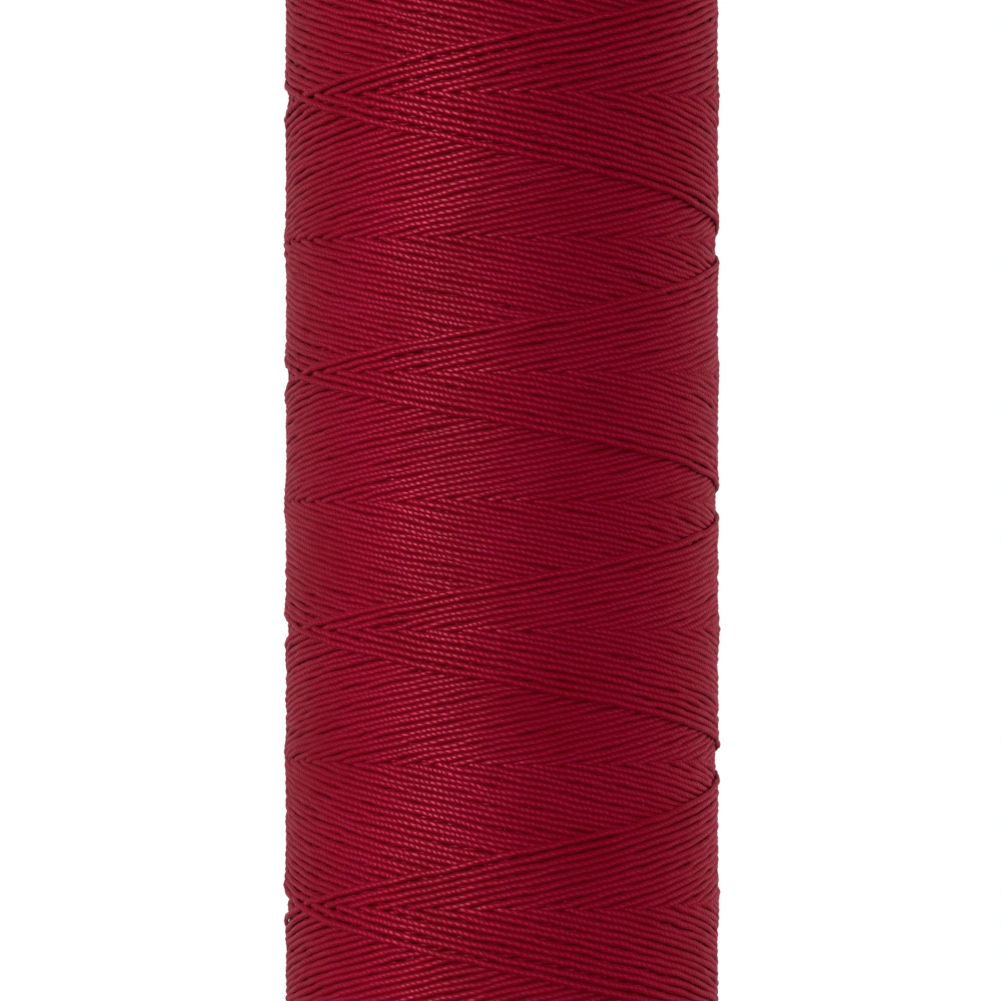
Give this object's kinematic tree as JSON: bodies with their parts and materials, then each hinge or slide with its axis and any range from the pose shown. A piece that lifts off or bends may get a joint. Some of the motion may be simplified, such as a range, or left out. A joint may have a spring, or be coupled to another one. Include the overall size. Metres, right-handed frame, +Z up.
{
  "type": "spool of sewing thread",
  "caption": "Slim plastic spool with a snap-lock base, holding cross-wound crimson sewing thread between two thin flanges.",
  "frame": {"origin": "middle of the flat face that the spool stands on, under the lock cap's rim", "axes": "+Z up along the spool's axis, through the core tube and out of the top flange"},
  "size_m": [0.024, 0.024, 0.0534],
  "materials": {
    "tube_plastic": "extruded polypropylene, off-white, satin",
    "flange_plastic": "moulded polypropylene, off-white, fine satin gloss",
    "cap_plastic": "moulded polypropylene, off-white, fine satin gloss",
    "thread": "twisted polyester sewing thread, deep crimson, soft sheen"
  },
  "bodies": {
    "spool": {"core_tube": "tube_plastic", "top_flange": "flange_plastic", "base_flange": "flange_plastic", "thread_inner_layers": "thread", "thread_outer_strokes": "thread"},
    "lock_cap": {"lock_cap": "cap_plastic"}
  },
  "joints": [
    {"name": "lock_cap_slide", "type": "slide", "parent": "spool", "child": "lock_cap", "axis": [0, 0, -1], "range_m": [0, 0.002]}
  ]
}
